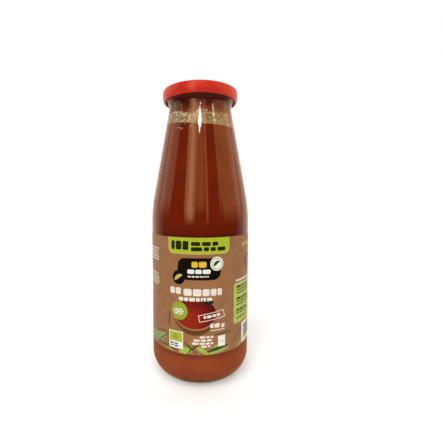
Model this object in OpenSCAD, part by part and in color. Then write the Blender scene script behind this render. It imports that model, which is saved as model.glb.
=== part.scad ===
// Passata bottle: a clear glass bottle with a sloping shoulder, a wide twist-off
// lid and a wrap-round paper label, filled with sieved tomato.
// The origin is the middle of the circle that the bottle stands on, and +Z is up.

/* [Body] */
// Outside diameter of the glass body
body_d = 77; // [75:0.5:80]
// Radius of the rounded heel
heel_r = 16.5; // [14:0.5:18]
// Height at which the straight side ends
shoulder_z = 118; // [116:1:122]
// Radius of the curve between the straight side and the shoulder
shoulder_r = 118; // [100:2:130]
// Slope of the shoulder away from the vertical, in degrees
shoulder_slope = 10.4; // [10:0.1:10.6]
// Height at which the shoulder ends and the neck begins
neck_z = 205.2; // [204.5:0.1:206]

/* [Glass] */
// Thickness of the side wall
wall = 2.6; // [2.2:0.1:3]
// Thickness of the glass in the middle of the base
base_t = 5; // [4:0.5:7]
// Height of the hollow under the base
push_up = 3.5; // [2:0.5:5]
// Width of the flat ring that the bottle stands on
foot_w = 1.6; // [1:0.1:2.5]

/* [Finish] */
// Radius of the hollow curve of the neck
neck_curve_r = 9; // [8:0.5:10]
// Radius of the glass wall inside the lid
finish_r = 25.9; // [25.5:0.1:26.2]
// How far the bead below the thread stands out
bead_w = 0.5; // [0.3:0.1:0.6]
// How far the thread stands out
thread_w = 1.5; // [1.3:0.1:1.7]
// Number of raised thread lengths, and of lugs on the lid
thread_count = 4; // [3:1:6]

/* [Lid] */
// Outside diameter of the lid
lid_d = 58.4; // [58:0.1:58.8]
// Height of the lid
lid_h = 8.4; // [8.2:0.1:9]
// Height of the closed bottle
total_h = 220; // [219.6:0.1:220.6]
// How far the skirt's lower part is drawn in
skirt_taper = 0.5; // [0.2:0.1:0.6]
// Thickness of the lid's sheet metal
lid_t = 0.5; // [0.4:0.1:0.6]
// Depth of the panel below the lid's rim
panel_drop = 1.2; // [0.8:0.1:1.6]
// Depth of the safety button below the panel
button_drop = 0.4; // [0.2:0.1:0.6]

/* [Label] */
// Height of the label's lower edge
label_z = 28; // [24:1:32]
// Height of the paper, from lower to upper edge
label_h = 83; // [78:1:86]
// Thickness of the paper
label_t = 0.15; // [0.1:0.05:0.2]
// Length of the glued overlap at the back
overlap_w = 12; // [8:1:16]

/* [Passata] */
// Height of the passata at the middle of the bottle
fill_z = 192; // [180:1:194]
// Tilt of its uneven surface, which is higher towards -X, in degrees
fill_tilt = 3.5; // [0:0.5:4]

/* [Hidden] */
$fn = 96;

// Body, worked out from the driving dimensions.
body_r = body_d / 2;
heel_c = body_r - heel_r;
foot_r = heel_c - foot_w;
dome_r = (foot_r * foot_r + push_up * push_up) / (2 * push_up);
dome_angle = asin(foot_r / dome_r);
cone_top = [body_r - shoulder_r, shoulder_z] + shoulder_r * [cos(shoulder_slope), sin(shoulder_slope)];
neck_r = cone_top[0] - (neck_z - cone_top[1]) * tan(shoulder_slope);
neck_c = [neck_r, neck_z] + neck_curve_r * [cos(shoulder_slope), sin(shoulder_slope)];

// Finish: everything above the neck's hollow curve.
flare_angle = 35;
flare_end = neck_c + neck_curve_r * [-cos(flare_angle), sin(flare_angle)];
bore_r = neck_c[0] - neck_curve_r - wall;
lip_z = total_h - lid_t;
lip_r = 1.6;
bead_r = finish_r + bead_w;
bead_h = 1.4;
thread_z = total_h - lid_h + 3.6;
thread_round_r = 1.1;
thread_span = 60;

// Inside of the bottle.
cavity_r = body_r - wall;
cavity_heel_r = cavity_r - heel_c;
cavity_heel_z = base_t + cavity_heel_r;
floor_dome_r = (heel_c * heel_c + push_up * push_up) / (2 * push_up);
floor_angle = asin(heel_c / floor_dome_r);

// Lid.
lid_r = lid_d / 2;
lid_z = total_h - lid_h;
corner_r = 1.5;
curl_r = 0.9;
taper_h = 3.2;
curl_c = [lid_r - skirt_taper - curl_r, lid_z + curl_r];
panel_r = bore_r - 1.2;
step_w = 0.6;
button_r = 9;
button_slope_w = 1.5;
lug_span = 12;
lug_w = 1.2;
lug_h = 1.2;
lug_z = lid_z + 1;

// Points along an arc around c, from angle a0 to angle a1.
function arc(c, r, a0, a1, n = 12) =
    [for (i = [0:n]) let (a = a0 + (a1 - a0) * i / n) c + r * [cos(a), sin(a)]];

function reverse(list) = [for (i = [len(list) - 1:-1:0]) list[i]];

// Direction from one point to the next, turned to the left of the path.
function left_of(a, b) = [a[1] - b[1], b[0] - a[0]] / norm(b - a);

// The same path moved t to its right, with its corners kept sharp.
function moved_right(path, t) = [
    for (i = [0:len(path) - 1])
        let (
            before = left_of(path[max(i - 1, 0)], path[max(i, 1)]),
            after = left_of(path[min(i, len(path) - 2)], path[min(i + 1, len(path) - 1)]),
            middle = (before + after) / norm(before + after)
        )
        path[i] - middle * t / (middle * before)
];

// Outside of the glass in the half plane, from the base's middle to the lip.
function outer_outline() = concat(
    arc([0, push_up - dome_r], dome_r, 90, 90 - dome_angle),
    arc([heel_c, heel_r], heel_r, -90, 0, 24),
    arc([body_r - shoulder_r, shoulder_z], shoulder_r, 0, shoulder_slope),
    arc(neck_c, neck_curve_r, 180 + shoulder_slope, 180 - flare_angle),
    arc([bead_r - bead_h / 2, flare_end[1] + bead_h / 2], bead_h / 2, -60, 60, 8),
    [[finish_r, flare_end[1] + bead_h]],
    arc([finish_r - lip_r, lip_z - lip_r], lip_r, 0, 90, 8)
);

// Inside of the glass in the half plane, from the floor's middle up to height z.
function inner_outline(top) = concat(
    arc([0, base_t + push_up - floor_dome_r], floor_dome_r, 90, 90 - floor_angle),
    arc([heel_c, cavity_heel_z], cavity_heel_r, -90, 0, 24),
    arc([body_r - shoulder_r, shoulder_z], shoulder_r - wall, 0, shoulder_slope),
    arc(neck_c, neck_curve_r + wall, 180 + shoulder_slope, 180),
    [[bore_r, top]]
);

module thread_length() {
    rotate_extrude(angle = thread_span)
        translate([finish_r + thread_w - thread_round_r, thread_z])
            circle(r = thread_round_r, $fn = 24);
}

module bottle() {
    lip = arc([bore_r + lip_r, lip_z - lip_r], lip_r, 90, 180, 8);
    color("lightgray", 0.4) {
        rotate_extrude()
            polygon(concat(outer_outline(), lip, reverse(inner_outline(lip_z - lip_r))));
        for (i = [1:thread_count])
            rotate([0, 0, 360 * i / thread_count])
                thread_length();
    }
}

// Outside of the lid's sheet in the half plane, from its middle to its lower edge.
function lid_outline() = concat(
    [
        [0, total_h - panel_drop - button_drop],
        [button_r - button_slope_w, total_h - panel_drop - button_drop],
        [button_r, total_h - panel_drop],
        [panel_r - step_w, total_h - panel_drop],
        [panel_r, total_h]
    ],
    arc([lid_r - corner_r, total_h - corner_r], corner_r, 90, 0, 8),
    [[lid_r, lid_z + taper_h], curl_c + [curl_r, 0]]
);

module lid_lug() {
    rotate_extrude(angle = lug_span)
        translate([curl_c[0] - lug_w, lug_z])
            square([lug_w, lug_h]);
}

module lid() {
    sheet = lid_outline();
    color("firebrick") {
        rotate_extrude()
            polygon(concat(sheet, reverse(moved_right(sheet, lid_t))));
        rotate_extrude()
            translate(curl_c)
                circle(r = curl_r, $fn = 24);
        for (i = [1:thread_count])
            rotate([0, 0, 360 * i / thread_count])
                lid_lug();
    }
}

// Paper of thickness t that lies on the glass and reaches round it by an angle.
module paper(t, angle) {
    rotate_extrude(angle = angle)
        translate([body_r, label_z])
            square([t, label_h]);
}

module label() {
    overlap_angle = overlap_w / body_r * 180 / PI;
    color("tan") {
        paper(label_t, 360);
        rotate([0, 0, 90 - overlap_angle / 2])
            paper(2 * label_t, overlap_angle);
    }
}

module passata() {
    color("darkred")
        intersection() {
            rotate_extrude()
                polygon(concat(inner_outline(lip_z), [[0, lip_z]]));
            translate([0, 0, fill_z])
                rotate([0, fill_tilt, 0])
                    translate([-body_d, -body_d, -total_h])
                        cube([2 * body_d, 2 * body_d, total_h]);
        }
}

bottle();
lid();
label();
passata();
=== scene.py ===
"""A glass bottle of passata with a red twist-off lid and a paper label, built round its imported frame."""
import math
import random

import bmesh
import bpy
from mathutils import Matrix, Vector, noise


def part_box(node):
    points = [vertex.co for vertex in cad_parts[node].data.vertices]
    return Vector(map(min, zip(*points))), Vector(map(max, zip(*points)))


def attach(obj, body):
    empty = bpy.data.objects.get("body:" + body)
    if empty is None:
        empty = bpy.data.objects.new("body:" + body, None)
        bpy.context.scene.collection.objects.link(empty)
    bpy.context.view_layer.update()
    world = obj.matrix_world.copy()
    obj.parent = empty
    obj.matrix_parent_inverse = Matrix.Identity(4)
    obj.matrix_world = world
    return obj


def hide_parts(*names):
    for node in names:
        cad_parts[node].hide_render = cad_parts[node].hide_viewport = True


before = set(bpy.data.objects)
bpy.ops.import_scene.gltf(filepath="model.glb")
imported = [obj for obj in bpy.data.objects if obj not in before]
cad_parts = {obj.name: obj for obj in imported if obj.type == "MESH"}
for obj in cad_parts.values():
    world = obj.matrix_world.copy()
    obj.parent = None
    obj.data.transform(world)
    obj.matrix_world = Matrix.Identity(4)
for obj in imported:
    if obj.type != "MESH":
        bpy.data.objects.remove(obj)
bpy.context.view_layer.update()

MM = 0.001
TINY = 0.001 * MM  # points nearer than this are one point

# ---------------------------------------------------------------- sizes taken from the frame, in metres

BOTTLE_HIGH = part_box("bottle")[1]
LID_LOW, LID_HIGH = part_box("lid")
LABEL_LOW, LABEL_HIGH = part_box("label")
FILL_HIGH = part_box("passata")[1].z
BODY_R = BOTTLE_HIGH.x
LIP_Z = BOTTLE_HIGH.z
LID_R = LID_HIGH.x
LID_Z = LID_LOW.z
TOP_Z = LID_HIGH.z
LEVEL_Z = FILL_HIGH - 3.6664 * MM  # the passata's surface at the front, where it lies lower than at the left

# ---------------------------------------------------------------- sizes of the glass, as in the construction

HEEL_R = 16.5 * MM
SHOULDER_Z = 118 * MM
SHOULDER_R = 118 * MM
SLOPE = math.radians(10.4)
NECK_Z = 205.2 * MM
NECK_CURVE_R = 9 * MM
FLARE = math.radians(35)
WALL = 2.6 * MM
BASE_T = 5 * MM
PUSH_UP = 3.5 * MM
FOOT_W = 1.6 * MM
FINISH_R = 25.9 * MM
BEAD_W = 0.5 * MM
BEAD_H = 1.4 * MM
LIP_R = 1.6 * MM
THREAD_W = 1.5 * MM
THREAD_R = 1.1 * MM
THREAD_Z = LID_Z + 3.6 * MM
THREAD_COUNT = 4
THREAD_SPAN = math.radians(60)
KNURL_COUNT = 72
KNURL_L = 1.6 * MM
KNURL_W = 0.6 * MM
KNURL_H = 0.2 * MM

HEEL_C = BODY_R - HEEL_R
FOOT_R = HEEL_C - FOOT_W
SHOULDER_C = (BODY_R - SHOULDER_R, SHOULDER_Z)
CONE_R = SHOULDER_C[0] + SHOULDER_R * math.cos(SLOPE)
CONE_Z = SHOULDER_Z + SHOULDER_R * math.sin(SLOPE)
NECK_R = CONE_R - (NECK_Z - CONE_Z) * math.tan(SLOPE)
NECK_C = (NECK_R + NECK_CURVE_R * math.cos(SLOPE), NECK_Z + NECK_CURVE_R * math.sin(SLOPE))
FLARE_Z = NECK_C[1] + NECK_CURVE_R * math.sin(FLARE)
BORE_R = NECK_C[0] - NECK_CURVE_R - WALL
CAVITY_R = BODY_R - WALL
CAVITY_HEEL_R = CAVITY_R - HEEL_C

ROUND_STEPS = 144

# The mould's joint is a fine ridge down the glass, to the right of the front and opposite.
SEAM_AZIMUTH = math.radians(21.5)
SEAM_HALF_W = 0.5 * MM
SEAM_H = 0.22 * MM
SEAM_GAP = 0.1 * MM  # it ends this far from the label

# ---------------------------------------------------------------- colours


def linear(code):
    """An sRGB hex colour as linear red, green, blue and alpha."""
    parts = [int(code[i:i + 2], 16) / 255 for i in (1, 3, 5)]
    return [c / 12.92 if c <= 0.04045 else ((c + 0.055) / 1.055) ** 2.4 for c in parts] + [1.0]


# ---------------------------------------------------------------- node helper


def add(tree, kind, sockets=None, **settings):
    """Adds a shader node. A socket is given a value, or another node's output to link."""
    made = tree.nodes.new("ShaderNode" + kind)
    for name, value in settings.items():
        setattr(made, name, value)
    for name, value in (sockets or {}).items():
        if isinstance(value, bpy.types.NodeSocket):
            tree.links.new(value, made.inputs[name])
        else:
            made.inputs[name].default_value = value
    return made


def new_material(name):
    """An empty material and its node tree."""
    made = bpy.data.materials.new(name)
    made.use_nodes = True
    made.node_tree.nodes.clear()
    return made, made.node_tree


# ---------------------------------------------------------------- mesh helpers


def arc(centre, radius, start, end, steps=12):
    """Points (r, z) along an arc, with its angles in radians from the direction away from the axis."""
    turns = [start + (end - start) * i / steps for i in range(steps + 1)]
    return [(centre[0] + radius * math.cos(a), centre[1] + radius * math.sin(a)) for a in turns]


def spin(bm, outline, steps=ROUND_STEPS, start=-math.pi / 2, angle=math.tau):
    """Turns an outline of (r, z) points round the axis. The first meridian lies at the start angle."""
    across = Vector((math.cos(start), math.sin(start), 0))
    verts = [bm.verts.new(across * r + Vector((0, 0, z))) for r, z in outline]
    edges = [bm.edges.new(pair) for pair in zip(verts, verts[1:])]
    full = angle >= math.tau
    done = bmesh.ops.spin(
        bm, geom=verts + edges, cent=(0, 0, 0), axis=(0, 0, 1), angle=angle, steps=steps, use_merge=full
    )
    return done["geom_last"]


def close_up(bm):
    """Merges doubled points and turns every face outwards."""
    bmesh.ops.remove_doubles(bm, verts=bm.verts, dist=TINY)
    bmesh.ops.dissolve_degenerate(bm, edges=bm.edges, dist=TINY)
    bmesh.ops.recalc_face_normals(bm, faces=bm.faces)


def join(bm, other):
    """Adds another bmesh's shape to bm and frees the other."""
    carrier = bpy.data.meshes.new("carrier")
    other.to_mesh(carrier)
    other.free()
    bm.from_mesh(carrier)
    bpy.data.meshes.remove(carrier)


def piece(name, bm, material, node=None, sharp=math.radians(40)):
    """Makes the bmesh a smooth-shaded piece that rides on the part and may stand for a CAD node."""
    mesh = bpy.data.meshes.new(name)
    bm.to_mesh(mesh)
    bm.free()
    for one in material if isinstance(material, list) else [material]:
        mesh.materials.append(one)
    mesh.shade_smooth()
    mesh.set_sharp_from_angle(angle=sharp)
    made = bpy.data.objects.new(name, mesh)
    bpy.context.scene.collection.objects.link(made)
    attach(made, "root")
    if node:
        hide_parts(node)
    return made


# ---------------------------------------------------------------- materials


def flint_glass():
    """Flint glass, blown in a mould: clear and colourless, with a slight ripple that bends reflections."""
    made, tree = new_material("flint glass, blown")
    place = add(tree, "TexCoord").outputs["Object"]
    stretched = add(tree, "Mapping", {"Vector": place, "Scale": (1, 1, 0.25)}).outputs["Vector"]
    ripple = add(tree, "TexNoise", {"Vector": stretched, "Scale": 1 / (14 * MM), "Detail": 1.0})
    bump = add(tree, "Bump", {"Height": ripple.outputs["Fac"], "Strength": 0.25, "Distance": 0.1 * MM})
    glass = add(tree, "BsdfPrincipled", {
        "Base Color": linear("#f8f8f6"),
        "Transmission Weight": 1.0,
        "IOR": 1.52,
        "Roughness": 0.02,
        "Normal": bump.outputs["Normal"],
    })
    path = add(tree, "LightPath").outputs
    clear = add(tree, "BsdfTransparent", {"Color": linear("#f2f2f0")}).outputs[0]
    bounced = add(tree, "MixShader", {0: path["Is Diffuse Ray"], 1: glass.outputs[0], 2: clear})
    mixed = add(tree, "MixShader", {0: path["Is Shadow Ray"], 1: bounced.outputs[0], 2: clear})
    add(tree, "OutputMaterial", {"Surface": mixed.outputs[0]})
    return made


def ramp(tree, fac, *stops):
    """A colour ramp from (position, colour) stops."""
    made = add(tree, "ValToRGB", {"Fac": fac})
    stair = made.color_ramp.elements
    while len(stair) < len(stops):
        stair.new(0.5)
    for step, (position, colour) in zip(stair, stops):
        step.position = position
        step.color = colour if isinstance(colour, tuple) else linear(colour)
    return made.outputs["Color"]


PAINTED_LIGHT_FROM = 60 * MM  # painted light: the passata is coloured paler below this height
PAINTED_LIGHT_FULL = 30 * MM
FOOT_SHADE_FULL = 6 * MM  # painted shade: darker again where it nears the table
FOOT_SHADE_END = 9 * MM


def passata_pulp():
    """Sieved tomato, cooked: opaque brownish red with soft clouds and fine specks; painted light makes it
    paler below the label and painted shade darker at the foot.
    """
    made, tree = new_material("passata, sieved")
    place = add(tree, "TexCoord").outputs["Object"]
    clouds = add(tree, "TexNoise", {"Vector": place, "Scale": 1 / (16 * MM), "Detail": 3.0})
    specks = add(tree, "TexNoise", {"Vector": place, "Scale": 1 / (0.9 * MM), "Detail": 1.0})
    height = add(tree, "SeparateXYZ", {0: place}).outputs["Z"]
    # Painted light: below the label the colour blends into a paler ramp that stands in for light thrown up
    # from the white table.
    painted_light_share = add(tree, "MapRange", {"Value": height, "From Min": PAINTED_LIGHT_FROM, "From Max": PAINTED_LIGHT_FULL})
    upper = ramp(tree, clouds.outputs["Fac"], (0.35, "#681700"), (0.7, "#721d03"))
    lower = ramp(tree, clouds.outputs["Fac"], (0.35, "#913d19"), (0.7, "#9a441e"))
    body = add(tree, "Mix", {"Factor": painted_light_share.outputs[0], 6: upper, 7: lower}, data_type="RGBA").outputs[2]
    pulp_share = ramp(tree, specks.outputs["Fac"], (0.6, (0, 0, 0, 1)), (0.8, (0.15, 0.15, 0.15, 1)))
    tone = add(tree, "Mix", {"Factor": pulp_share, 6: body, 7: linear("#8c3a10")}, data_type="RGBA")
    # Painted shade: the colour darkens towards the table, where the passata gets less light.
    shade = add(tree, "MapRange", {
        "Value": height, "From Min": FOOT_SHADE_FULL, "From Max": FOOT_SHADE_END, "To Min": 0.25, "To Max": 1.0,
    }).outputs[0]
    shaded = add(
        tree, "Mix", {"Factor": 1.0, 6: tone.outputs[2], 7: shade}, data_type="RGBA", blend_type="MULTIPLY"
    )
    pulp = add(tree, "BsdfPrincipled", {
        "Base Color": shaded.outputs[2],
        "Roughness": 0.4,
        "IOR": 1.36,
        "Specular IOR Level": 0.1,
    })
    add(tree, "OutputMaterial", {"Surface": pulp.outputs[0]})
    return made


FILM_CLIMB = 20 * MM  # height above the passata at which the film has turned dark red, partly painted shade under the lid


def passata_film():
    """What clings to the glass over the passata: pale dried froth, then brown, then dark red film, partly
    painted shade under the lid.
    """
    made, tree = new_material("passata film and froth, dried, partly painted light")
    place = add(tree, "TexCoord").outputs["Object"]
    cells = add(
        tree, "TexVoronoi", {"Vector": place, "Scale": 1 / (1.5 * MM)}, feature="DISTANCE_TO_EDGE"
    ).outputs["Distance"]
    blots = add(tree, "TexNoise", {"Vector": place, "Scale": 1 / (6 * MM), "Detail": 5.0, "Roughness": 0.65})
    height = add(tree, "SeparateXYZ", {0: place}).outputs["Z"]
    climb = add(tree, "MapRange", {
        "Value": height, "From Min": LEVEL_Z, "From Max": LEVEL_Z + FILM_CLIMB,
        "To Min": -0.25, "To Max": 0.75,
    })
    # The colour darkens with height: partly the film's own dark red, partly painted shade under the lid.
    dryness_and_lid_shade = add(tree, "Math", {0: blots.outputs["Fac"], 1: climb.outputs[0]}, operation="ADD")
    base = ramp(
        tree, dryness_and_lid_shade.outputs[0],
        (0.3, "#a98a5b"), (0.62, "#9a7849"), (0.72, "#86502a"), (0.86, "#7a2a0a"), (1.0, "#600a00"),
    )
    # Pale bubble walls along the cell rims, partly a painted highlight, with painted shade in the deeper
    # cell middles.
    pale_rims_and_glints = ramp(tree, cells, (0.0, (0.55, 0.55, 0.55, 1)), (0.2, (0, 0, 0, 1)))
    froth_share = ramp(tree, dryness_and_lid_shade.outputs[0], (0.5, (1, 1, 1, 1)), (0.78, (0, 0, 0, 1)))
    pale = add(tree, "Math", {0: pale_rims_and_glints, 1: froth_share}, operation="MULTIPLY").outputs[0]
    foam = add(tree, "Mix", {"Factor": pale, 6: base, 7: linear("#d6c08f")}, data_type="RGBA").outputs[2]
    grains = add(tree, "TexNoise", {
        "Vector": place, "Scale": 1 / (1.5 * MM), "Detail": 2.0, "Roughness": 0.7,
    })
    grain = ramp(tree, grains.outputs["Fac"], (0.4, (0.42, 0.36, 0.3, 1)), (0.6, (1, 1, 1, 1)))
    tone = add(
        tree, "Mix", {"Factor": froth_share, 6: foam, 7: grain}, data_type="RGBA", blend_type="MULTIPLY"
    )
    bump = add(tree, "Bump", {"Height": cells, "Strength": 0.5, "Distance": 0.3 * MM})
    film = add(tree, "BsdfPrincipled", {
        "Base Color": tone.outputs[2],
        "Roughness": 0.4,
        "Specular IOR Level": 0.2,
        "Normal": bump.outputs["Normal"],
    })
    add(tree, "OutputMaterial", {"Surface": film.outputs[0]})
    return made


def froth_bubble():
    """Bubbles of dried froth: cream, thin-skinned and glossy."""
    made, tree = new_material("passata froth bubbles, dried")
    place = add(tree, "TexCoord").outputs["Object"]
    blots = add(tree, "TexNoise", {"Vector": place, "Scale": 1 / (3 * MM), "Detail": 1.0})
    skin = add(tree, "BsdfPrincipled", {
        "Base Color": ramp(tree, blots.outputs["Fac"], (0.35, "#cfb486"), (0.6, "#e8dbb4")),
        "Roughness": 0.3,
    })
    add(tree, "OutputMaterial", {"Surface": skin.outputs[0]})
    return made


def lid_enamel():
    """Enamelled tinplate: a glossy tomato red baked over steel, with a faint orange-peel surface."""
    made, tree = new_material("enamel on tinplate, red")
    place = add(tree, "TexCoord").outputs["Object"]
    peel = add(tree, "TexNoise", {"Vector": place, "Scale": 1 / (1.2 * MM), "Detail": 2.0})
    bump = add(tree, "Bump", {"Height": peel.outputs["Fac"], "Strength": 0.08, "Distance": 0.1 * MM})
    enamel = add(tree, "BsdfPrincipled", {
        "Base Color": linear("#cd2c1f"),
        "Roughness": 0.35,
        "Specular IOR Level": 0.2,
        "Coat Weight": 0.4,
        "Coat Roughness": 0.12,
        "Normal": bump.outputs["Normal"],
    })
    add(tree, "OutputMaterial", {"Surface": enamel.outputs[0]})
    return made


def lid_lacquer():
    """Food lacquer inside the lid, stained by the passata: dark red-brown, partly painted shade under the
    lid, with darker splashes.
    """
    made, tree = new_material("lacquer on tinplate, stained, painted shade")
    place = add(tree, "TexCoord").outputs["Object"]
    stains = add(tree, "TexNoise", {"Vector": place, "Scale": 1 / (4 * MM), "Detail": 3.0})
    lacquer = add(tree, "BsdfPrincipled", {
        # The dark base colour is partly painted shade under the lid; the darker splashes are stains.
        "Base Color": ramp(tree, stains.outputs["Fac"], (0.4, "#5c1208"), (0.6, "#3a0803")),
        "Roughness": 0.4,
        "Specular IOR Level": 0.15,
    })
    add(tree, "OutputMaterial", {"Surface": lacquer.outputs[0]})
    return made


def lid_liner():
    """Plastisol sealing ring, flowed in and cured: cream, soft and satin."""
    made, tree = new_material("plastisol, cured")
    place = add(tree, "TexCoord").outputs["Object"]
    blots = add(tree, "TexNoise", {"Vector": place, "Scale": 1 / (3 * MM), "Detail": 2.0})
    seal = add(tree, "BsdfPrincipled", {
        "Base Color": ramp(tree, blots.outputs["Fac"], (0.4, "#b9a58c"), (0.6, "#cdbba2")),
        "Roughness": 0.5,
    })
    add(tree, "OutputMaterial", {"Surface": seal.outputs[0]})
    return made


# The varnish over paper and ink is thin and dull, and it pales towards the label's sides.
VARNISH = {"Specular IOR Level": 0.15, "Sheen Weight": 0.25, "Sheen Roughness": 0.3}


def kraft_paper():
    """Brown paper, printed and varnished: short fibres and soft mottling under a dull varnish."""
    made, tree = new_material("kraft paper, varnished")
    place = add(tree, "TexCoord").outputs["Object"]
    mottle = add(tree, "TexNoise", {"Vector": place, "Scale": 1 / (6 * MM), "Detail": 4.0})
    fibres = add(tree, "TexNoise", {"Vector": place, "Scale": 1 / (0.5 * MM), "Detail": 2.0})
    both = add(tree, "Mix", {"Factor": 0.5, 2: mottle.outputs["Fac"], 3: fibres.outputs["Fac"]})
    tone = ramp(tree, both.outputs[0], (0.38, "#8f613c"), (0.62, "#9c6d48"))
    bump = add(tree, "Bump", {"Height": fibres.outputs["Fac"], "Strength": 0.15, "Distance": 0.05 * MM})
    paper = add(tree, "BsdfPrincipled", {
        "Base Color": tone,
        "Roughness": 0.5,
        "Normal": bump.outputs["Normal"],
        **VARNISH,
    })
    add(tree, "OutputMaterial", {"Surface": paper.outputs[0]})
    return made


def offset_ink(name, colour):
    """Printing ink on varnished paper: an even colour, a little patchy where the paper soaks it up."""
    made, tree = new_material(f"offset ink, {name}")
    place = add(tree, "TexCoord").outputs["Object"]
    soak = add(tree, "TexNoise", {"Vector": place, "Scale": 1 / (1.5 * MM), "Detail": 2.0})
    full = linear(colour)
    thin = [0.88 * c for c in full[:3]] + [1.0]
    ink = add(tree, "BsdfPrincipled", {
        "Base Color": ramp(tree, soak.outputs["Fac"], (0.35, tuple(thin)), (0.65, tuple(full))),
        "Roughness": 0.45,
        **VARNISH,
    })
    add(tree, "OutputMaterial", {"Surface": ink.outputs[0]})
    return made


GLOW_SHIFT = (8 * MM, 0, -52 * MM)  # takes the picture's lightest spot to the origin
GLOW_R = 26 * MM


def sauce_ink():
    """The label's picture of a bowl of sauce: ink that darkens away from a soft light at the lower left."""
    made, tree = new_material("offset ink, sauce picture")
    place = add(tree, "TexCoord").outputs["Object"]
    shift = add(tree, "Mapping", {"Vector": place, "Location": GLOW_SHIFT}).outputs["Vector"]
    grown = add(tree, "Mapping", {"Vector": shift, "Scale": (1 / GLOW_R, 0, 1 / GLOW_R)}).outputs["Vector"]
    glow = add(tree, "TexGradient", {"Vector": grown}, gradient_type="SPHERICAL").outputs["Fac"]
    ink = add(tree, "BsdfPrincipled", {
        "Base Color": ramp(tree, glow, (0.25, "#4c0400"), (0.52, "#760d03"), (0.8, "#8b2206")),
        "Roughness": 0.45,
        **VARNISH,
    })
    add(tree, "OutputMaterial", {"Surface": ink.outputs[0]})
    return made


GLASS = flint_glass()
PASSATA = passata_pulp()
FILM = passata_film()
BUBBLE = froth_bubble()
ENAMEL = lid_enamel()
LACQUER = lid_lacquer()
LINER = lid_liner()
KRAFT = kraft_paper()

# ---------------------------------------------------------------- glass bottle


def dome(radius, height, base_z):
    """Points of a shallow dome from the axis out to its edge, with its edge at base_z."""
    sphere_r = (radius ** 2 + height ** 2) / (2 * height)
    half = math.asin(radius / sphere_r)
    return arc((0, base_z + height - sphere_r), sphere_r, math.pi / 2, math.pi / 2 - half)


def outer_outline():
    """Outside of the glass, from the middle of the base to the top of the lip."""
    bead = (FINISH_R + BEAD_W - BEAD_H / 2, FLARE_Z + BEAD_H / 2)
    return (
        dome(FOOT_R, PUSH_UP, 0)
        + arc((HEEL_C, HEEL_R), HEEL_R, -math.pi / 2, 0, 24)
        + [(BODY_R, LABEL_LOW.z + (LABEL_HIGH.z - LABEL_LOW.z) * i / 6) for i in range(7)]
        + arc(SHOULDER_C, SHOULDER_R, 0, SLOPE)
        + [(CONE_R + (NECK_R - CONE_R) * i / 6, CONE_Z + (NECK_Z - CONE_Z) * i / 6) for i in range(1, 6)]
        + arc(NECK_C, NECK_CURVE_R, math.pi + SLOPE, math.pi - FLARE)
        + arc(bead, BEAD_H / 2, -math.pi / 3, math.pi / 3, 6)
        + [(FINISH_R, FLARE_Z + BEAD_H)]
        + arc((FINISH_R - LIP_R, LIP_Z - LIP_R), LIP_R, 0, math.pi / 2, 8)
    )


def cavity_outline(grow=0.0):
    """Inside of the glass, from the middle of the floor to the start of the bore, moved out by grow."""
    return (
        dome(HEEL_C, PUSH_UP, BASE_T - grow)
        + arc((HEEL_C, BASE_T + CAVITY_HEEL_R), CAVITY_HEEL_R + grow, -math.pi / 2, 0, 24)
        + arc(SHOULDER_C, SHOULDER_R - WALL + grow, 0, SLOPE)
        + arc(NECK_C, NECK_CURVE_R + WALL - grow, math.pi + SLOPE, math.pi)
    )


def cavity_radius(z):
    """Radius of the glass's inside wall at a height above the shoulder's curve."""
    curve_r = NECK_CURVE_R + WALL
    below = NECK_C[1] - z
    if below < 0:
        return BORE_R
    if below < curve_r * math.sin(SLOPE):
        return NECK_C[0] - math.sqrt(curve_r ** 2 - below ** 2)
    return CONE_R - (z - CONE_Z) * math.tan(SLOPE) - WALL / math.cos(SLOPE)


def raise_seam(bm):
    """Raises the fine ridge that the mould's two halves leave down both sides, above and below the label."""
    low, high = HEEL_R - MM, FLARE_Z + MM
    for offset in (-SEAM_HALF_W, 0, SEAM_HALF_W):
        turn = SEAM_AZIMUTH + offset / BODY_R
        side = [part for part in (*bm.faces, *bm.edges) if all(low < v.co.z < high for v in part.verts)]
        side += [v for v in bm.verts if low < v.co.z < high]
        bmesh.ops.bisect_plane(
            bm, geom=side, dist=TINY,
            plane_co=(0, 0, 0), plane_no=(math.cos(turn), math.sin(turn), 0),
        )
    across = Vector((math.cos(SEAM_AZIMUTH), math.sin(SEAM_AZIMUTH), 0))
    for vert in bm.verts:
        out = Vector((vert.co.x, vert.co.y, 0)).normalized()
        bare = HEEL_R < vert.co.z < LABEL_LOW.z - SEAM_GAP or LABEL_HIGH.z + SEAM_GAP < vert.co.z < FLARE_Z
        if bare and abs(vert.co.dot(across)) < 2 * TINY:
            vert.co += out * SEAM_H


def repeat_round(section, steps, angle):
    """A closed section turned through an angle, capped at both ends, and repeated once for each thread."""
    bm = bmesh.new()
    for i in range(THREAD_COUNT):
        rib = bmesh.new()
        spin(rib, section, steps=steps, start=math.tau * i / THREAD_COUNT, angle=angle)
        bmesh.ops.remove_doubles(rib, verts=rib.verts, dist=TINY)
        bmesh.ops.holes_fill(rib, edges=rib.edges)
        bmesh.ops.recalc_face_normals(rib, faces=rib.faces)
        join(bm, rib)
    return bm


def make_threads():
    """The short raised ribs round the neck that the lid's lugs turn under."""
    section = arc((FINISH_R + THREAD_W - THREAD_R, THREAD_Z), THREAD_R, 0, math.tau, 16)
    return piece("glass_threads", repeat_round(section, 16, THREAD_SPAN), GLASS)


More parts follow.
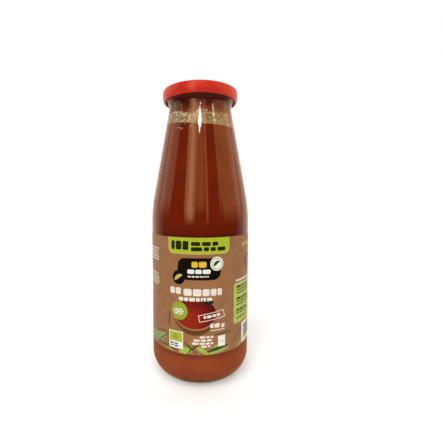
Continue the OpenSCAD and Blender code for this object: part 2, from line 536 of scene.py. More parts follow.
def make_knurl():
    """Short ribs round the edge of the hollow under the base, which keep a hot bottle off a cold belt."""
    bm = bmesh.new()
    for i in range(KNURL_COUNT):
        turn = Matrix.Rotation(math.tau * i / KNURL_COUNT, 4, "Z")
        place = Matrix.Translation((FOOT_R - KNURL_L / 2, 0, KNURL_H))
        size = Matrix.Diagonal((KNURL_L / 2, KNURL_W / 2, KNURL_H, 1))
        bmesh.ops.create_icosphere(bm, subdivisions=2, radius=1, matrix=turn @ place @ size)
    return piece("base_knurl", bm, GLASS)


def make_bottle():
    """The hollow glass: its outside with the mould's seam, then its lip and its inside."""
    bm = bmesh.new()
    spin(bm, outer_outline())
    bmesh.ops.remove_doubles(bm, verts=bm.verts, dist=TINY)
    raise_seam(bm)
    lip = arc((BORE_R + LIP_R, LIP_Z - LIP_R), LIP_R, math.pi / 2, math.pi, 8)
    spin(bm, [(FINISH_R - LIP_R, LIP_Z)] + lip + cavity_outline()[::-1])
    close_up(bm)
    return piece("bottle_glass", bm, GLASS, "bottle")


# ---------------------------------------------------------------- passata

SINK = 0.15 * MM  # how far the passata reaches into the glass, so that no gap shows
LEVEL_RISE = 3.5 * MM  # how much higher it clings on the left, at LEVEL_HALF_W from the middle
LEVEL_HALF_W = 26 * MM
LUMP_W = 11 * MM
LUMP_H = 0.5 * MM
CREEP_W = 1.2 * MM  # the surface creeps up the glass over this width
CREEP_H = 0.9 * MM
LEVEL_ROOM = 4 * MM  # no ring of the wall below lies nearer to the surface than this
LEVEL_RINGS = 14


def level(x, y):
    """Height of the passata's surface: nearly flat, higher on the left and a little lumpy."""
    lumps = noise.noise(Vector((x, y, 0.3)) / LUMP_W)
    left = max(0.0, -x / LEVEL_HALF_W)
    return LEVEL_Z + LEVEL_RISE * left ** 1.5 + LUMP_H * lumps


def make_passata():
    """The filling, from the floor of the bottle up to its uneven surface."""
    bm = bmesh.new()
    wall = [p for p in cavity_outline(SINK) if p[1] < LEVEL_Z - LEVEL_ROOM]
    rim_r = cavity_radius(LEVEL_Z) + SINK
    surface = [(rim_r * (1 - (i / LEVEL_RINGS) ** 1.5), LEVEL_Z) for i in range(LEVEL_RINGS + 1)]
    spin(bm, wall + surface)
    close_up(bm)
    for vert in bm.verts:
        if abs(vert.co.z - LEVEL_Z) < 10 * TINY:
            out = math.hypot(vert.co.x, vert.co.y)
            creep = CREEP_H * math.exp((out - rim_r) / CREEP_W)
            vert.co.z = level(vert.co.x, vert.co.y) + creep
            if out > rim_r - 10 * TINY:
                scale = (cavity_radius(vert.co.z) + SINK) / out
                vert.co.x *= scale
                vert.co.y *= scale
    return piece("passata_fill", bm, PASSATA, "passata")


# ---------------------------------------------------------------- what clings to the glass above the passata

FROTH_TOP_Z = 199.5 * MM
FROTH_BACK_RISE = 5 * MM
FROTH_FADE = 1.5 * MM
FROTH_RAG = 2.4 * MM
FROTH_FRINGE = 1.2 * MM
FROTH_T = 0.9 * MM
FILM_T = 0.2 * MM
FILM_LUMP_W = 1.4 * MM
FILM_OVERLAP = 1.5 * MM  # how far the film starts below the passata's surface
FILM_ROWS = 60
FILM_STEPS = 300
BUBBLE_COUNT = 240
BUBBLE_T = 0.22 * MM
BUBBLE_SIZES = (0.25, 0.7)  # radius, in millimetres
CROWD_SHARE = 0.4  # of the bubbles, which crowd round one azimuth at the left of the front
CROWD_AZIMUTH = -2.15
CROWD_SPREAD = 0.35


def wander(azimuth, waves, seed):
    """A smooth value from about -1 to 1 that changes with the azimuth and closes on itself."""
    ring = Vector((math.cos(azimuth), math.sin(azimuth), seed)) * waves
    return noise.noise(ring) + 0.5 * noise.noise(ring * 2.7)


def froth_top(azimuth):
    """Height of the froth's upper edge: ragged, and higher at the back."""
    back = 0.5 + 0.5 * math.sin(azimuth)
    rag = FROTH_RAG * wander(azimuth, 2.2, 0.7) + FROTH_FRINGE * wander(azimuth, 9, 3.1)
    return FROTH_TOP_Z + FROTH_BACK_RISE * back ** 2 + rag


def film_depth(azimuth, z):
    """Thickness of what clings to the glass: lumpy froth low down and a thin film above."""
    froth = min(1.0, max(0.0, (froth_top(azimuth) - z) / FROTH_FADE))
    lump = noise.noise(Vector((math.cos(azimuth) * BORE_R, math.sin(azimuth) * BORE_R, z)) / FILM_LUMP_W)
    return FILM_T * (1 + 0.4 * lump) + FROTH_T * froth * (0.7 + 0.5 * lump)


def make_film():
    """A skin against the inside of the glass, from just under the passata's surface up to the lip."""
    bm = bmesh.new()
    low, high = LEVEL_Z - FILM_OVERLAP, LIP_Z - LIP_R
    outer, inner = 2.0, 1.0  # radii that only tell the two sides apart until each point is placed
    up = [(outer, i / FILM_ROWS) for i in range(FILM_ROWS + 1)]
    down = [(inner, i / FILM_ROWS) for i in range(FILM_ROWS, -1, -1)]
    spin(bm, up + down + up[:1], steps=FILM_STEPS)
    close_up(bm)
    for vert in bm.verts:
        azimuth = math.atan2(vert.co.y, vert.co.x)
        z = low + vert.co.z * (high - low)
        at_glass = math.hypot(vert.co.x, vert.co.y) > (outer + inner) / 2
        r = cavity_radius(z) + (SINK / 2 if at_glass else -film_depth(azimuth, z))
        vert.co = Vector((math.cos(azimuth) * r, math.sin(azimuth) * r, z))
    bmesh.ops.recalc_face_normals(bm, faces=bm.faces)
    return piece("froth_and_film", bm, FILM)


def make_bubbles():
    """Small bubbles pressed against the glass along the froth's upper edge, thickest on the left."""
    bm = bmesh.new()
    rng = random.Random(11)
    for _ in range(BUBBLE_COUNT):
        if rng.random() < CROWD_SHARE:
            azimuth = rng.gauss(CROWD_AZIMUTH, CROWD_SPREAD)
        else:
            azimuth = rng.uniform(-math.pi, math.pi)
        size = rng.uniform(*BUBBLE_SIZES) * MM
        z = froth_top(azimuth) - rng.expovariate(1 / 2.5) * MM + 0.8 * MM
        at = Vector((math.cos(azimuth), math.sin(azimuth), 0)) * cavity_radius(z) + Vector((0, 0, z))
        turned = Matrix.Translation(at) @ Matrix.Rotation(azimuth, 4, "Z")
        flat = Matrix.Diagonal((BUBBLE_T, size, size, 1))
        bmesh.ops.create_icosphere(bm, subdivisions=2, radius=1, matrix=turned @ flat)
    return piece("froth_bubbles", bm, BUBBLE)


# ---------------------------------------------------------------- lid

LID_T = 0.3 * MM
CORNER_R = 1.5 * MM
CURL_R = 0.9 * MM
SKIRT_TAPER = 0.5 * MM
TAPER_H = 3.2 * MM
PANEL_R = BORE_R - 1.2 * MM
PANEL_DROP = 1.2 * MM
PANEL_BEND = 0.5 * MM
BUTTON_R = 9 * MM
BUTTON_DROP = 0.4 * MM
LUG_W = 1.2 * MM
LUG_H = 1.2 * MM
LUG_Z = LID_Z + 1 * MM
LUG_SPAN = math.radians(12)
LINER_W = 2.4 * MM
LINER_T = 0.5 * MM


def lid_outline():
    """Outside of the lid's sheet, from its middle to the bottom of the skirt."""
    panel_z = TOP_Z - PANEL_DROP
    return (
        [(0, panel_z - BUTTON_DROP - 0.1 * MM), (BUTTON_R * 0.5, panel_z - BUTTON_DROP - 0.05 * MM)]
        + [(BUTTON_R - 1.6 * MM, panel_z - BUTTON_DROP), (BUTTON_R - 0.9 * MM, panel_z - BUTTON_DROP * 0.8)]
        + [(BUTTON_R - 0.3 * MM, panel_z - BUTTON_DROP * 0.2), (BUTTON_R + 0.4 * MM, panel_z)]
        + arc((PANEL_R - 2 * PANEL_BEND, panel_z + PANEL_BEND), PANEL_BEND, -math.pi / 2, -math.pi / 8, 4)
        + arc((PANEL_R + PANEL_BEND, TOP_Z - PANEL_BEND), PANEL_BEND, math.pi * 7 / 8, math.pi / 2, 4)
        + arc((LID_R - CORNER_R, TOP_Z - CORNER_R), CORNER_R, math.pi / 2, 0, 8)
        + [(LID_R, TOP_Z - TAPER_H), (LID_R, LID_Z + TAPER_H)]
        + [(LID_R - 0.35 * SKIRT_TAPER, LID_Z + TAPER_H - 0.7 * MM)]
        + arc((LID_R - SKIRT_TAPER - CURL_R, LID_Z + CURL_R), CURL_R, 0, -math.pi * 1.4, 14)
    )


def make_lid():
    """The pressed sheet: enamelled outside, lacquered inside, with its lower edge rolled in."""
    bm = bmesh.new()
    spin(bm, lid_outline())
    close_up(bm)
    made = piece("lid_shell", bm, [ENAMEL, LACQUER], "lid", math.radians(60))
    sheet = made.modifiers.new("sheet", "SOLIDIFY")
    sheet.thickness = LID_T
    sheet.offset = -1
    sheet.material_offset = 1
    return made


def make_lid_inside():
    """The pressed lugs that hold under the threads, and the soft ring that seals on the lip."""
    reach = LID_R - SKIRT_TAPER - CURL_R
    section = [
        (reach, LUG_Z), (reach - LUG_W, LUG_Z + 0.3 * MM), (reach - LUG_W, LUG_Z + LUG_H - 0.2 * MM),
        (reach, LUG_Z + LUG_H),
    ]
    piece("lid_lugs", repeat_round(section + section[:1], 6, LUG_SPAN), LACQUER)
    bm = bmesh.new()
    centre = ((BORE_R + FINISH_R) / 2, TOP_Z - LID_T - LINER_T / 2)
    ring = [
        (centre[0] + math.cos(a) * LINER_W / 2, centre[1] + math.sin(a) * LINER_T / 2)
        for a in (math.tau * i / 12 for i in range(13))
    ]
    spin(bm, ring)
    close_up(bm)
    piece("lid_liner", bm, LINER)


# ---------------------------------------------------------------- label

PAPER_T = 0.05 * MM
PAPER_R = BODY_R + PAPER_T
PAPER_SINK = 0.01 * MM  # how far the paper reaches into the glass
OVERLAP_W = 12 * MM

# These are in millimetres, like the places on the label.
INK_FLOOR = 0.004  # from the paper up to the underside of the ink
LAYER_T = 0.012  # thickness of one layer of ink
WRAP_STEP = 2.0  # longest straight stretch of ink round the paper

# Neighbours in one layer of ink differ in thickness by up to this share of it, so that none coincide.
SHARED_RISE = 0.3
SHARED_STEPS = 8

INK_COLOURS = {
    "lime": "#afb92d",
    "olive": "#c3bb5e",
    "pear": "#9aa234",
    "leaf": "#9ab84a",
    "pale": "#b4c25c",
    "sage": "#929a66",
    "stem": "#24500f",
    "moss": "#1c2606",
    "black": "#050504",
    "yellow": "#e3b730",
    "white": "#ece9e0",
    "cream": "#e8dccb",
    "grey": "#b9b4ab",
    "tan": "#a06a42",
    "dusk": "#7a512c",
    "shade": "#5f3b15",
    "red": "#8a3c30",
}
fields = {name: [] for name in [*INK_COLOURS, "sauce"]}  # ink name: (layer, outline) pairs


# Places on the label are (s, z) in millimetres: s runs round the paper to the right of its front, and z is
# the height above the table.


def oblong(left, low, right, high, corner=0.4, tilt=0.0):
    """Outline of a rectangle with rounded corners, tilted in degrees about its middle."""
    corner = min(corner, (right - left) / 2.01, (high - low) / 2.01)
    steps = 5 if corner > 1 else 2
    turn = math.radians(tilt)
    middle = ((left + right) / 2, (low + high) / 2)
    sides = [(right, high, 0), (left, high, 1), (left, low, 2), (right, low, 3)]
    outline = []
    for s, z, quarter in sides:
        centre = (s - corner if s == right else s + corner, z - corner if z == high else z + corner)
        outline += arc(centre, corner, quarter * math.pi / 2, (quarter + 1) * math.pi / 2, steps)
    return [
        (middle[0] + (s - middle[0]) * math.cos(turn) - (z - middle[1]) * math.sin(turn),
         middle[1] + (s - middle[0]) * math.sin(turn) + (z - middle[1]) * math.cos(turn))
        for s, z in outline
    ]


def tab(left, low, right, high, corner):
    """Outline of a flap with a straight upper edge and rounded lower corners."""
    first = arc((left + corner, low + corner), corner, math.pi, math.pi * 1.5, 6)
    second = arc((right - corner, low + corner), corner, math.pi * 1.5, math.tau, 6)
    return [(right, high), (left, high)] + first + second


def oval(s, z, half_s, half_z, steps=40):
    """Outline of an ellipse."""
    turns = [math.tau * i / steps for i in range(steps)]
    return [(s + half_s * math.cos(a), z + half_z * math.sin(a)) for a in turns]


def stalk(start, bend, end, width, steps=10):
    """Outline of a curved stem or blade that tapers to a point at both ends."""
    left, right = [], []
    for i in range(steps + 1):
        t = i / steps
        s, z = (
            start[k] * (1 - t) ** 2 + 2 * bend[k] * t * (1 - t) + end[k] * t ** 2 for k in (0, 1)
        )
        ds, dz = ((bend[k] - start[k]) * (1 - t) + (end[k] - bend[k]) * t for k in (0, 1))
        half = width / 2 * math.sin(math.pi * min(max(t, 0.02), 0.98)) ** 0.5 / math.hypot(ds, dz)
        left.append((s - dz * half, z + ds * half))
        right.append((s + dz * half, z - ds * half))
    return left + right[::-1]


def words(ink, layer, left, right, z, height, seed, longest=5.0, align_right=False, spare=0.25):
    """A row of short bars that stands for a line of print and leaves up to a spare share of it empty."""
    rng = random.Random(seed)
    empty = (right - left) * rng.uniform(0.0, spare)
    if align_right:
        left += empty
    else:
        right -= empty
    at = left
    while at < right - height:
        end = min(right, at + rng.uniform(1.2 * height, longest))
        fields[ink].append((layer, oblong(at, z - height / 2, end, z + height / 2, height * 0.3)))
        at = end + 0.15 + 0.35 * height


def blocks(ink, layer, left, right, low, high, count, gap, seed):
    """A row of rounded blocks of uneven widths in the place of large lettering."""
    rng = random.Random(seed)
    shares = [rng.uniform(0.7, 1.4) for _ in range(count)]
    room = right - left - gap * (count - 1)
    at = left
    for share in shares:
        wide = room * share / sum(shares)
        fields[ink].append((layer, oblong(at, low, at + wide, high, min(wide, high - low) * 0.25)))
        at += wide + gap


def frame_lines(ink, layer, corners, width):
    """The outline of a four-cornered box, drawn with thin lines."""
    for (s0, z0), (s1, z1) in zip(corners, corners[1:] + corners[:1]):
        length = math.hypot(s1 - s0, z1 - z0)
        middle = ((s0 + s1) / 2, (z0 + z1) / 2)
        half = length / 2 + width / 2
        tilt = math.degrees(math.atan2(z1 - z0, s1 - s0))
        fields[ink].append((layer, oblong(
            middle[0] - half, middle[1] - width / 2, middle[0] + half, middle[1] + width / 2, 0.1, tilt
        )))


def print_banner():
    """The banner that hangs from the paper's upper edge, with bars for its words."""
    top = LABEL_HIGH.z / MM
    fields["olive"].append((1, tab(-23.9, 99.5, 21.6, top - 0.02, 3.6)))
    fields["lime"].append((2, tab(-23.3, 100.1, 21.0, top - 0.04, 3.2)))
    blocks("moss", 3, -21.2, -8.2, 102.4, 108.6, 3, 0.8, 1)
    words("moss", 3, -6.4, 12.8, 106.7, 2.8, 1, 7.0, spare=0.0)
    words("moss", 3, -6.4, 18.2, 103.1, 2.8, 2, 8.0, spare=0.0)


def print_plate():
    """The dark plate with rounded blocks for its name, a plain disc and a plain round seal."""
    fields["black"].append((1, oblong(-16.2, 81.4, 14.8, 96.8, 5.4)))
    fields["black"].append((1, oval(-15.6, 82.8, 4.7, 5.0)))
    fields["olive"].append((2, stalk((-18.4, 80.6), (-16.6, 84.0), (-12.8, 84.8), 2.6)))
    blocks("yellow", 2, -6.0, 4.4, 90.3, 94.4, 2, 0.7, 3)
    blocks("white", 2, -9.0, 7.2, 85.9, 88.9, 3, 0.7, 4)
    words("cream", 2, -8.8, 7.2, 83.9, 1.0, 3, 3.5)
    fields["white"].append((3, oval(11.8, 92.7, 4.8, 4.9)))
    fields["leaf"].append((4, oval(11.8, 92.7, 4.0, 4.1)))
    fields["white"].append((5, oval(11.8, 92.7, 3.4, 3.5)))
    fields["stem"].append((6, stalk((9.6, 91.0), (10.8, 93.8), (13.8, 94.4), 2.2)))


def print_title():
    """Two rows of rounded blocks in the place of the title."""
    blocks("cream", 5, -22.4, -13.8, 70.9, 75.6, 2, 0.7, 5)
    blocks("cream", 5, -11.8, 15.6, 70.2, 75.2, 5, 0.8, 6)
    blocks("cream", 5, -15.4, 8.4, 66.4, 69.0, 6, 0.6, 7)


def print_bowl():
    """The bowl of sauce with its shadow, a sprig, a round sticker and a slanting box."""
    fields["dusk"].append((1, stalk((-18.6, 52.5), (-4.0, 38.2), (11.6, 52.0), 7.0, 20)))
    fields["shade"].append((2, stalk((-16.4, 51.0), (-3.6, 39.8), (9.8, 51.0), 5.6, 20)))
    fields["tan"].append((3, oval(-3.6, 56.7, 15.5, 11.3, 56)))
    fields["sauce"].append((4, oval(-3.6, 57.4, 14.9, 10.7, 56)))
    fields["moss"].append((5, stalk((0.5, 68.4), (5.0, 64.2), (9.5, 66.0), 3.4)))
    fields["pear"].append((5, oval(-15.1, 58.9, 6.2, 6.5)))
    for row, half in ((60.1, 3.4), (58.6, 4.4), (57.1, 3.6)):
        words("white", 6, -15.1 - half, -15.1 + half, row, 0.9, int(row * 10), 3.5, spare=0.1)
    frame_lines("cream", 5, [(-1.2, 56.4), (16.7, 59.6), (17.9, 54.7), (-0.4, 51.8)], 0.45)
    for i, wide in enumerate((1.8, 3.2, 2.6, 2.4)):
        at = (2.4, 4.8, 8.6, 11.8)[i]
        fields["cream"].append((5, oblong(at, 53.9 + at * 0.14, at + wide, 55.8 + at * 0.14, 0.4, 8.5)))


def print_weight():
    """Blocks and a line in the place of the net weight."""
    blocks("cream", 5, 7.0, 14.0, 47.2, 50.4, 2, 0.6, 8)
    blocks("cream", 5, 15.4, 17.8, 46.8, 49.6, 1, 0.6, 9)
    fields["cream"].append((5, oblong(7.0, 45.2, 17.8, 45.8, 0.1, 1)))


def print_farm_panel():
    """The small square panel at the lower left, with two lines under it."""
    fields["white"].append((3, oblong(-23.7, 31.3, -12.3, 43.9, 0.4)))
    fields["lime"].append((4, oblong(-23.1, 36.2, -12.9, 43.3, 0.2)))
    fields["pear"].append((5, oval(-18.0, 39.8, 2.6, 2.2, 24)))
    words("moss", 4, -22.8, -15.5, 34.6, 1.0, 21, 4.0)
    words("moss", 4, -22.8, -14.0, 32.9, 1.0, 22, 4.5)


def print_small_lines():
    """Four lines of small print and the narrow white panel beside them."""
    for row, left in ((40.9, -1.0), (38.6, -5.4), (36.3, -7.0), (34.2, 0.6)):
        words("cream", 3, left, 9.4, row, 1.5, int(row * 10), 5.5, align_right=True, spare=0.08)
    fields["white"].append((3, oblong(12.8, 33.2, 18.5, 41.0, 0.3)))
    words("grey", 4, 13.8, 17.6, 37.1, 0.8, 31, 2.0, spare=0.0)


def print_grass():
    """Blades and stems that cross along the label's lower edge."""
    low = LABEL_LOW.z / MM + 0.3
    for start, bend, end, width in (
        ((-15.5, low), (-12.0, 31.6), (-8.4, 32.6), 3.0),
        ((-12.5, low), (-9.0, 30.8), (-5.0, 31.0), 2.8),
        ((-2.5, 33.6), (1.5, 31.6), (5.4, low), 3.0),
        ((8.6, 32.8), (14.5, 35.2), (20.5, 34.6), 1.5),
        ((5.0, 28.6), (13.0, 29.8), (22.0, 31.0), 1.6),
        ((-32.0, 32.6), (-26.0, 31.0), (-20.5, low), 1.4),
        ((30.0, low), (34.0, 31.4), (40.0, 32.6), 1.8),
    ):
        fields["leaf"].append((1, stalk(start, bend, end, width)))
    fields["sage"].append((1, stalk((-53.0, 32.6), (-38.0, 32.4), (-26.4, 39.0), 7.4)))
    for start, bend, end, width in (
        ((-12.0, 37.0), (-7.0, 33.4), (-2.2, low), 1.1),
        ((-0.8, 35.0), (-5.0, 33.6), (-9.4, low), 1.1),
        ((5.2, 30.2), (12.0, 32.2), (21.0, 33.4), 2.0),
        ((8.8, 41.0), (15.0, 43.8), (24.6, 42.2), 0.8),
        ((-37.0, 38.8), (-30.0, 42.4), (-23.8, 40.9), 0.6),
        ((-23.8, 41.2), (-28.0, 37.6), (-36.6, 31.4), 0.7),
        ((-36.6, 31.6), (-27.0, 32.0), (-15.6, 29.2), 1.1),
        ((24.5, 35.0), (31.0, 37.2), (36.5, 42.4), 0.6),
        ((-64.0, 31.0), (-52.0, 35.4), (-40.0, 31.0), 1.0),
        ((-56.0, low), (-50.0, 33.0), (-46.0, 40.5), 0.9),
    ):
        fields["stem"].append((2, stalk(start, bend, end, width)))
    fields["shade"].append((1, stalk((-23.7, 57.6), (-23.4, 52.0), (-23.6, 46.2), 1.0)))


def print_right_side():
    """Round the right side: a picture, a panel of small print and a striped panel."""
    for i, half in enumerate((1.5, 1.3, 1.6, 1.2)):
        fields["yellow"].append((1, oval(37.4 + i * 4.4, 103.8 + (i % 2) * 0.8, half, half * 0.9, 20)))
    fields["red"].append((1, oval(47.0, 90.4, 8.4, 6.0)))
    fields["stem"].append((2, stalk((43.5, 95.6), (47.0, 94.0), (50.5, 96.2), 1.4)))
    words("cream", 1, 28.4, 66, 78.3, 1.7, 31, 6.0)
    fields["olive"].append((1, oblong(26.2, 46.4, 68.0, 76.4, 1.8)))
    fields["pale"].append((2, oblong(26.6, 46.8, 67.6, 76.0, 1.5)))
    for i, row in enumerate((73.4, 71.0, 68.8, 64.6, 62.4, 60.2, 56.0, 53.8, 50.2)):
        tall = 1.5 if i in (0, 3, 6) else 0.9
        words("moss", 3, 29.0, 65.0 if tall < 1 else 48.0, row, tall, 40 + i, 6.0)
    fields["white"].append((1, oblong(35.8, 29.4, 67.0, 44.9, 0.5)))
    rng = random.Random(5)
    at = 39.0
    while at < 63.0:
        wide = rng.choice((0.35, 0.6, 0.9))
        fields["black"].append((2, oblong(at, 32.0, at + wide, 42.8, 0.05)))
        at += wide + rng.choice((0.4, 0.7))


def print_left_side():
    """Round the left side: columns of small print."""
    for block, top in enumerate((101.1, 82.2)):
        for i in range(5):
            row = top - 2.05 * i
            words("cream", 1, -66.0, -33.6, row, 0.9, 60 + 10 * block + i, 5.0, spare=0.08)
    fields["cream"].append((1, oblong(-66.0, 66.2, -47.0, 70.2, 1.6)))
    for i in range(4):
        words("cream", 1, -66.0, -47.0, 61.5 - 2.6 * i, 0.95, 80 + i, 5.0)


def print_back():
    """The panels that meet at the glued overlap: a table of plain rows, and lines of small print."""
    fields["lime"].append((1, oblong(72.0, 99.6, 112.0, 105.4, 1.8)))
    words("moss", 2, 75.0, 108.0, 102.5, 2.0, 91, 7.0)
    for i in range(9):
        row = 96.6 - 5.2 * i
        fields["cream"].append((1, oblong(72.0, row - 0.15, 112.0, row + 0.15, 0.1)))
        if i < 8:
            words("cream", 1, 73.0, 94.0, row - 2.6, 1.1, 100 + i, 6.0)
            words("cream", 1, 101.0, 111.0, row - 2.6, 1.1, 120 + i, 4.0, align_right=True)
    for i in range(6):
        words("cream", 1, 72.0, 112.0, 49.6 - 2.6 * i, 0.95, 140 + i, 6.0)
    fields["olive"].append((1, oval(-83.0, 92.0, 11.6, 11.6, 48)))
    fields["red"].append((2, oval(-83.0, 91.2, 8.6, 7.2)))
    fields["stem"].append((3, stalk((-87.5, 98.4), (-83.0, 95.4), (-78.5, 98.6), 1.6)))
    fields["stem"].append((3, stalk((-83.0, 94.6), (-82.6, 98.0), (-81.4, 100.4), 1.0)))
    for i in range(14):
        words("cream", 1, -112.0, -72.0, 75.6 - 2.6 * i, 0.95, 160 + i, 6.0)
    fields["lime"].append((1, oblong(-112.0, 30.6, -72.0, 36.6, 1.8)))
    words("moss", 2, -109.0, -75.0, 33.6, 1.6, 190, 6.0)


def lay_ink(bm, outline, layer):
    """Adds one field of ink, flat and in millimetres, cut across so that it can bend round the paper."""
    face = bm.faces.new([bm.verts.new((s, INK_FLOOR, z)) for s, z in outline])
    geom = [face, *face.edges, *face.verts]
    left = min(s for s, _ in outline)
    right = max(s for s, _ in outline)
    for i in range(math.floor(left / WRAP_STEP) + 1, math.ceil(right / WRAP_STEP)):
        geom = bmesh.ops.bisect_plane(
            bm, geom=geom, dist=TINY / MM, plane_co=(i * WRAP_STEP, 0, 0), plane_no=(1, 0, 0)
        )["geom"]
    faces = [g for g in geom if isinstance(g, bmesh.types.BMFace)]
    raised = bmesh.ops.extrude_face_region(bm, geom=faces, use_keep_orig=True)["geom"]
    for vert in raised:
        if isinstance(vert, bmesh.types.BMVert):
            vert.co.y = INK_FLOOR + LAYER_T * layer


def make_print():
    """One piece for each ink, wrapped round the paper."""
    for draw in (
        print_banner, print_plate, print_title, print_bowl, print_weight, print_farm_panel,
        print_small_lines, print_grass, print_right_side, print_left_side, print_back,
    ):
        draw()
    for ink, shapes in fields.items():
        bm = bmesh.new()
        for i, (layer, outline) in enumerate(shapes):
            lay_ink(bm, outline, layer + SHARED_RISE * (i % SHARED_STEPS) / SHARED_STEPS)
        bmesh.ops.recalc_face_normals(bm, faces=bm.faces)
        for vert in bm.verts:
            turn = vert.co.x * MM / PAPER_R
            r = PAPER_R + vert.co.y * MM
            vert.co = Vector((math.sin(turn) * r, -math.cos(turn) * r, vert.co.z * MM))
        bm.normal_update()
        bmesh.ops.recalc_face_normals(bm, faces=bm.faces)
        material = sauce_ink() if ink == "sauce" else offset_ink(ink, INK_COLOURS[ink])
        piece(f"print_{ink}", bm, material)


def make_paper():
    """The wrap-round paper, with its glued overlap standing up at the back."""
    bm = bmesh.new()
    inner = BODY_R - PAPER_SINK
    low, high = LABEL_LOW.z, LABEL_HIGH.z
    section = [(inner, low), (PAPER_R, low), (PAPER_R, high), (inner, high)]
    spin(bm, section + section[:1], steps=240)
    close_up(bm)
    flap = bmesh.new()
    turn = OVERLAP_W / BODY_R
    end = [(inner, low), (PAPER_R + PAPER_T, low), (PAPER_R + PAPER_T, high), (inner, high)]
    spin(flap, end + end[:1], steps=12, start=math.pi / 2 - turn / 2, angle=turn)
    close_up(flap)
    bmesh.ops.holes_fill(flap, edges=flap.edges)
    bmesh.ops.recalc_face_normals(flap, faces=flap.faces)
    join(bm, flap)
    return piece("label_paper", bm, KRAFT, "label")


make_bottle()
make_threads()
make_knurl()
make_passata()
make_film()
make_bubbles()
make_lid()
make_lid_inside()
make_paper()
make_print()

# ---------------------------------------------------------------- floor, light and camera


FLOOR_BACK = 6.0
FLOOR_FRONT = -0.42  # the table ends here, on the camera's side
AIM_Z = 0.12
LIGHT_DISTANCE = 1.2
SUN_DISTANCE = 2.0


def make_floor():
    """A matt white table that the glass doesn't mirror."""
    bm = bmesh.new()
    bmesh.ops.create_grid(bm, x_segments=1, y_segments=1, size=FLOOR_BACK)
    for vert in bm.verts:
        vert.co.y = max(vert.co.y, FLOOR_FRONT)
    mesh = bpy.data.meshes.new("floor")
    bm.to_mesh(mesh)
    bm.free()
    made, tree = new_material("floor, matt white")
    paint = add(tree, "BsdfPrincipled", {"Base Color": linear("#f2f2f0"), "Roughness": 0.9})
    add(tree, "OutputMaterial", {"Surface": paint.outputs[0]})
    mesh.materials.append(made)
    floor = bpy.data.objects.new("floor", mesh)
    bpy.context.scene.collection.objects.link(floor)
    floor.visible_glossy = False


def place_light(name, data, azimuth, elevation, distance):
    """Aims a light at the bottle. Azimuth 0 is the camera's side and +90 its right, in degrees."""
    lamp = bpy.data.objects.new(name, data)
    a, e = math.radians(azimuth), math.radians(elevation)
    back = Vector((math.sin(a) * math.cos(e), -math.cos(a) * math.cos(e), math.sin(e)))
    lamp.location = Vector((0, 0, AIM_Z)) + back * distance
    lamp.rotation_mode = "QUATERNION"
    lamp.rotation_quaternion = back.to_track_quat("Z", "Y")
    lamp.visible_camera = False
    bpy.context.scene.collection.objects.link(lamp)
    return lamp


def area(name, size, luminance, colour="#ffffff"):
    """A flat rectangle of light whose face has the given luminance."""
    data = bpy.data.lights.new(name, "AREA")
    data.shape = "RECTANGLE"
    data.size, data.size_y = size
    data.energy = luminance * math.pi * size[0] * size[1]
    data.color = linear(colour)[:3]
    return data


def fill(name, azimuth, elevation, size, luminance):
    """A soft light that shapes the piece and leaves no mirror image in the glass."""
    lamp = place_light(name, area(name, (size, size), luminance), azimuth, elevation, LIGHT_DISTANCE)
    lamp.visible_glossy = False


def card(name, left, right, low, high, colour, fade=0.25, side_fade=0.12):
    """A lit card that shows only as a reflection, between two azimuths and two elevations in degrees."""
    size = [2 * LIGHT_DISTANCE * math.tan(math.radians(span) / 2) for span in (right - left, high - low)]
    data = area(name, size, 1.0)
    data.color = colour
    data.use_nodes = True
    tree = data.node_tree
    tree.nodes.clear()
    across, up, _ = add(tree, "SeparateXYZ", {0: add(tree, "NewGeometry").outputs["Parametric"]}).outputs
    edges = []
    for along, width in ((across, side_fade), (up, fade)):
        centred = add(tree, "Math", {0: along, 1: 0.5}, operation="SUBTRACT").outputs[0]
        away = add(tree, "Math", {0: centred}, operation="ABSOLUTE").outputs[0]
        edges.append(add(tree, "MapRange", {
            "Value": away, "From Min": 0.5, "From Max": 0.5 - width,
        }, interpolation_type="SMOOTHSTEP").outputs[0])
    both = add(tree, "Math", {0: edges[0], 1: edges[1]}, operation="MULTIPLY").outputs[0]
    glow = add(tree, "Emission", {"Strength": both})
    add(tree, "OutputLight", {"Surface": glow.outputs[0]})
    lamp = place_light(name, data, (left + right) / 2, (low + high) / 2, LIGHT_DISTANCE)
    lamp.visible_diffuse = False


def make_sun():
    """The main light, broad and soft, from above the camera."""
    data = bpy.data.lights.new("sun", "SUN")
    data.energy = 3.0
    data.angle = math.radians(50)
    lamp = place_light("sun", data, -8, 60, SUN_DISTANCE)
    lamp.visible_glossy = False


WALL_LUMINANCE = (0.03, 1.2)  # on the camera's side, and behind the bottle
MIRRORED_TABLE = (0.45, 0.25, 0.14, 1)
TABLE_DIP = (-0.22, -0.34)  # downward part of a direction, where the mirrored table starts and is full


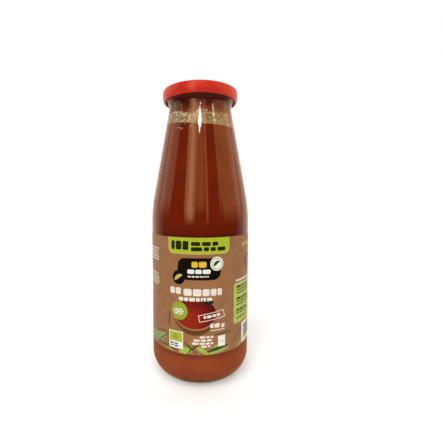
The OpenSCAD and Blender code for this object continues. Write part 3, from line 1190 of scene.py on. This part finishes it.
def make_world():
    """A white studio. Glass and lid mirror it warmer, dim on the camera's side and with a warm table."""
    world = bpy.data.worlds.new("studio")
    bpy.context.scene.world = world
    world.use_nodes = True
    tree = world.node_tree
    tree.nodes.clear()
    towards = add(tree, "SeparateXYZ", {0: add(tree, "TexCoord").outputs["Generated"]}).outputs
    behind = add(tree, "MapRange", {
        "Value": towards["Y"], "From Max": 0.6, "To Min": WALL_LUMINANCE[0], "To Max": WALL_LUMINANCE[1],
    }).outputs[0]
    below = add(tree, "MapRange", {
        "Value": towards["Z"], "From Min": TABLE_DIP[0], "From Max": TABLE_DIP[1],
    }).outputs[0]
    wall = add(tree, "Background", {"Color": linear("#ffe4cc"), "Strength": behind}).outputs[0]
    table = add(tree, "Background", {"Color": MIRRORED_TABLE, "Strength": 1.0}).outputs[0]
    mirrored = add(tree, "MixShader", {0: below, 1: wall, 2: table}).outputs[0]
    lit = add(tree, "Background", {"Color": linear("#ffffff"), "Strength": behind}).outputs[0]
    seen = add(tree, "Background", {"Color": linear("#ffffff"), "Strength": 1.0}).outputs[0]
    path = add(tree, "LightPath").outputs
    hidden = add(tree, "MixShader", {0: path["Is Glossy Ray"], 1: lit, 2: mirrored}).outputs[0]
    mixed = add(tree, "MixShader", {0: path["Is Camera Ray"], 1: hidden, 2: seen}).outputs[0]
    add(tree, "OutputWorld", {"Surface": mixed})


CAMERA_AT = (0, -236.1 * MM, 140.6 * MM)
CAMERA_PITCH = 0.0674
CAMERA_LENS = 23.72
CAMERA_SHIFT = (0.0481, -0.0168)


def make_camera():
    """A wide lens close in front, level with the shoulder, that looks slightly down."""
    data = bpy.data.cameras.new("camera")
    data.sensor_width = 36
    data.lens = CAMERA_LENS
    data.shift_x, data.shift_y = CAMERA_SHIFT
    data.clip_start = 0.01
    camera = bpy.data.objects.new("camera", data)
    camera.location = CAMERA_AT
    camera.rotation_euler = (math.pi / 2 - CAMERA_PITCH, 0, 0)
    bpy.context.scene.collection.objects.link(camera)
    bpy.context.scene.camera = camera


make_floor()
make_world()
make_camera()
make_sun()
fill("fill_left", -40, 30, 0.9, 0.75)
fill("fill_right", 40, 25, 0.9, 0.85)
card("card_far_left", -112, -70, -3, 75, (1.0, 0.72, 0.4))
card("card_left", -38, -10, -6, 50, (2.6, 1.45, 0.5))
card("card_left_core", -29, -17, -6, 50, (1.6, 1.3, 0.8))
card("card_front", -10, 11, 3, 50, (1.4, 0.6, 0.2))
card("card_thin", 13, 19, -6, 50, (1.7, 0.95, 0.45))
card("card_right", 48, 114, -6, 75, (1.6, 0.8, 0.28))
card("card_streak", -6.5, 4.5, 35.4, 38.5, (80, 75, 66), fade=0.5, side_fade=0.5)
card("card_streak_tail", -5.0, -0.6, 34.1, 37.2, (70, 66, 58), fade=0.5, side_fade=0.5)
bpy.context.scene.view_settings.view_transform = "Standard"
